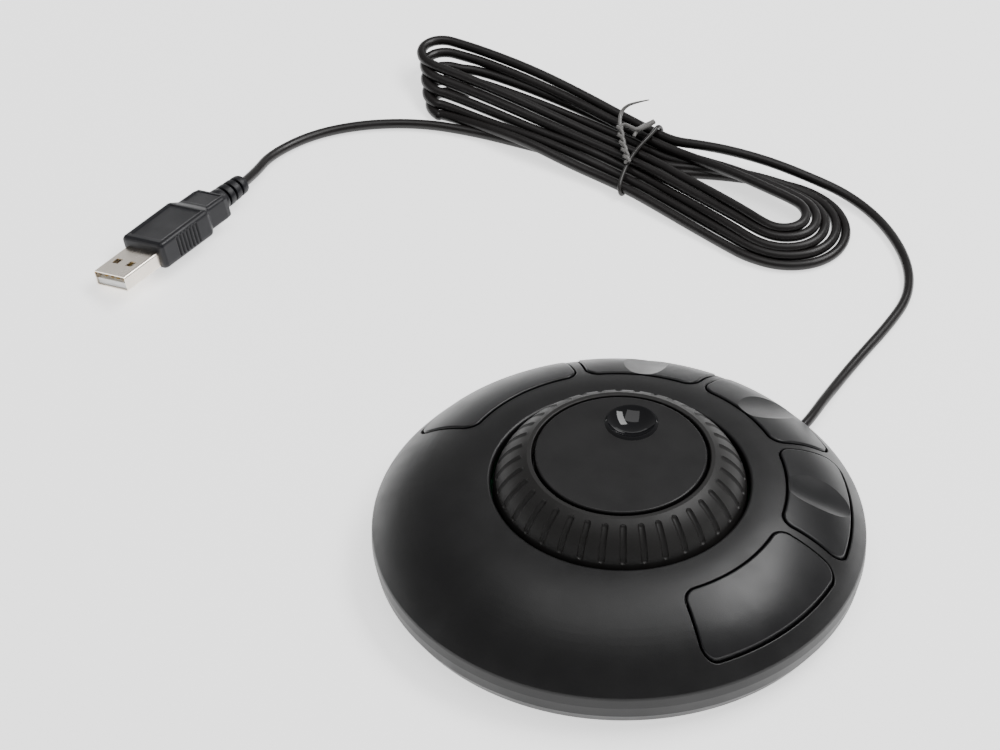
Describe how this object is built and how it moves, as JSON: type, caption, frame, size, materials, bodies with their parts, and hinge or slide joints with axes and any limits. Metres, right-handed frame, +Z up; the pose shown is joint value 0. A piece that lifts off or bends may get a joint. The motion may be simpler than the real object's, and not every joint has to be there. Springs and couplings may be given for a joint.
{
  "type": "jog shuttle controller",
  "caption": "Saucer-shaped desktop jog and shuttle controller: sprung ribbed ring, free-turning dial with finger cup, arc of push keys, tied lead and USB plug.",
  "frame": {"origin": "centre of the case's footprint, on the surface that its feet stand on", "axes": "+Z up along the axis of the dial and ring, +Y to the rear, where the lead leaves the case, +X to the right"},
  "size_m": [0.2527, 0.2111, 0.0372],
  "materials": {
    "case_plastic": "fine matt texture, near black",
    "base_plastic": "plain matt black",
    "key_plastic": "fine satin texture, near black",
    "grip_rubber": "soft matt black",
    "dial_plastic": "fine matt texture, near black",
    "cup_gloss": "polished black",
    "feet_rubber": "matt dark grey",
    "screw_steel": "zinc-plated steel",
    "board_green": "solder-masked laminate",
    "chip_black": "moulded epoxy",
    "can_metal": "plated can",
    "socket_white": "natural nylon",
    "core_insulation": "coloured wire insulation",
    "frame_plastic": "acetal, dark",
    "bush_brass": "turned bearing metal",
    "washer_nylon": "natural nylon",
    "shaft_steel": "ground steel",
    "magnet_dark": "sintered magnet",
    "cable_jacket": "satin flexible jacket, black",
    "tie_wire": "coated wire, black",
    "plug_plastic": "soft satin moulding, black",
    "shell_metal": "nickel-plated sheet",
    "tongue_white": "white moulding",
    "contact_gold": "gold-plated strip"
  },
  "bodies": {
    "root": {"top_cover": "case_plastic", "base_plate": "base_plastic", "rubber_feet": "feet_rubber", "case_screws": "screw_steel", "main_pcb": "board_green", "pcb_screws": "screw_steel", "switch_housings": "chip_black", "controller_chip": "chip_black", "crystal": "can_metal", "board_socket": "socket_white", "inner_leads": "core_insulation", "mechanism_frame": "frame_plastic", "frame_screws": "screw_steel", "upper_bush": "bush_brass", "lower_bush": "bush_brass", "ring_thrust_washer": "washer_nylon", "ring_retaining_clip": "shaft_steel", "shuttle_spring": "shaft_steel", "shuttle_sensor": "chip_black", "jog_sensor": "chip_black", "cable_boot": "cable_jacket", "cable_entry": "cable_jacket", "cable_lead": "cable_jacket", "cable_hank": "cable_jacket", "cable_tail": "cable_jacket", "twist_tie": "tie_wire", "usb_strain_relief": "plug_plastic", "usb_overmould": "plug_plastic", "usb_shell": "shell_metal", "usb_tongue": "tongue_white", "usb_contacts": "contact_gold"},
    "shuttle": {"shuttle_carrier": "frame_plastic", "shuttle_grip": "grip_rubber", "shuttle_code_ring": "frame_plastic"},
    "jog": {"jog_dial": "dial_plastic", "jog_finger_cup": "cup_gloss", "jog_shaft": "shaft_steel", "jog_magnet": "magnet_dark", "jog_retaining_clip": "shaft_steel", "jog_thrust_washer": "washer_nylon"},
    "key_1": {"button_1": "key_plastic", "switch_plunger_1": "socket_white"},
    "key_2": {"button_2": "key_plastic", "switch_plunger_2": "socket_white"},
    "key_3": {"button_3": "key_plastic", "switch_plunger_3": "socket_white"},
    "key_4": {"button_4": "key_plastic", "switch_plunger_4": "socket_white"},
    "key_5": {"button_5": "key_plastic", "switch_plunger_5": "socket_white"}
  },
  "joints": [
    {"name": "shuttle_turn", "type": "hinge", "parent": "root", "child": "shuttle", "pos_m": [0, 0, 0.02], "axis": [0, 0, 1], "range_deg": [-70, 70], "stiffness_Nm_per_rad": 0.05, "deforming": ["shuttle_spring"]},
    {"name": "jog_spin", "type": "hinge", "parent": "root", "child": "jog", "pos_m": [0, 0, 0.02], "axis": [0, 0, 1], "continuous": true},
    {"name": "key_1_press", "type": "slide", "parent": "root", "child": "key_1", "axis": [0, 0, -1], "range_m": [0, 0.0007], "stiffness_N_per_m": 600, "springref_m": -0.0008},
    {"name": "key_2_press", "type": "slide", "parent": "root", "child": "key_2", "axis": [0, 0, -1], "range_m": [0, 0.0007], "stiffness_N_per_m": 600, "springref_m": -0.0008},
    {"name": "key_3_press", "type": "slide", "parent": "root", "child": "key_3", "axis": [0, 0, -1], "range_m": [0, 0.0007], "stiffness_N_per_m": 600, "springref_m": -0.0008},
    {"name": "key_4_press", "type": "slide", "parent": "root", "child": "key_4", "axis": [0, 0, -1], "range_m": [0, 0.0007], "stiffness_N_per_m": 600, "springref_m": -0.0008},
    {"name": "key_5_press", "type": "slide", "parent": "root", "child": "key_5", "axis": [0, 0, -1], "range_m": [0, 0.0007], "stiffness_N_per_m": 600, "springref_m": -0.0008}
  ]
}
